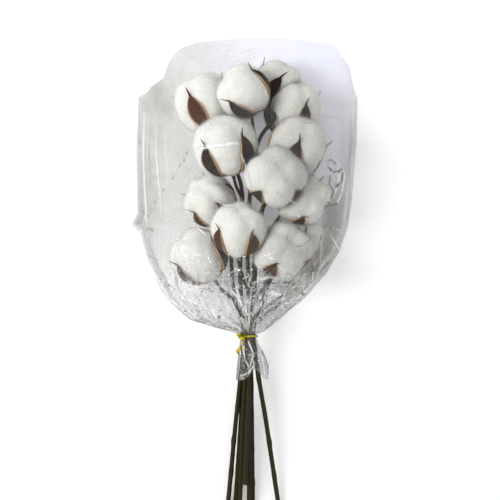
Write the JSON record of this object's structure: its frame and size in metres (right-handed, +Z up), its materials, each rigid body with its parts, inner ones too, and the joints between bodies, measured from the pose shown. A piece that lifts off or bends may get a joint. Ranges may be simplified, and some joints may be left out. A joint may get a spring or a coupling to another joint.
{
  "type": "cotton boll bunch",
  "caption": "Dried open cotton bolls in their burs on cut stems, tied as a bunch in a clear film sleeve, lying on its back.",
  "frame": {"origin": "on the surface that the bunch lies on, under the middle of the sleeve", "axes": "+Y from the cut ends of the stems to the top of the bunch, +X across it, +Z up from the surface"},
  "size_m": [0.2118, 0.4623, 0.1181],
  "materials": {
    "cotton": "loose matt lint",
    "bur": "dry, ribbed, satin to matt",
    "stem": "dry bark, matt",
    "film": "thin clear film, creased, high gloss",
    "tie": "gloss"
  },
  "bodies": {
    "root": {"bur_back_low": "bur", "bur_back_top": "bur", "bur_bottom_left": "bur", "bur_bottom_right": "bur", "bur_left": "bur", "bur_lower": "bur", "bur_middle": "bur", "bur_right": "bur", "bur_top": "bur", "bur_top_left": "bur", "bur_top_right": "bur", "bur_upper_left": "bur", "bur_upper_right": "bur", "cotton_back_low": "cotton", "cotton_back_top": "cotton", "cotton_bottom_left": "cotton", "cotton_bottom_right": "cotton", "cotton_left": "cotton", "cotton_lower": "cotton", "cotton_middle": "cotton", "cotton_right": "cotton", "cotton_top": "cotton", "cotton_top_left": "cotton", "cotton_top_right": "cotton", "cotton_upper_left": "cotton", "cotton_upper_right": "cotton", "sleeve": "film", "stem_centre": "stem", "stem_front": "stem", "stem_left": "stem", "stem_low": "stem", "stem_right": "stem", "stem_upper_left": "stem", "stem_upper_right": "stem", "twist_tie": "tie"}
  },
  "joints": []
}
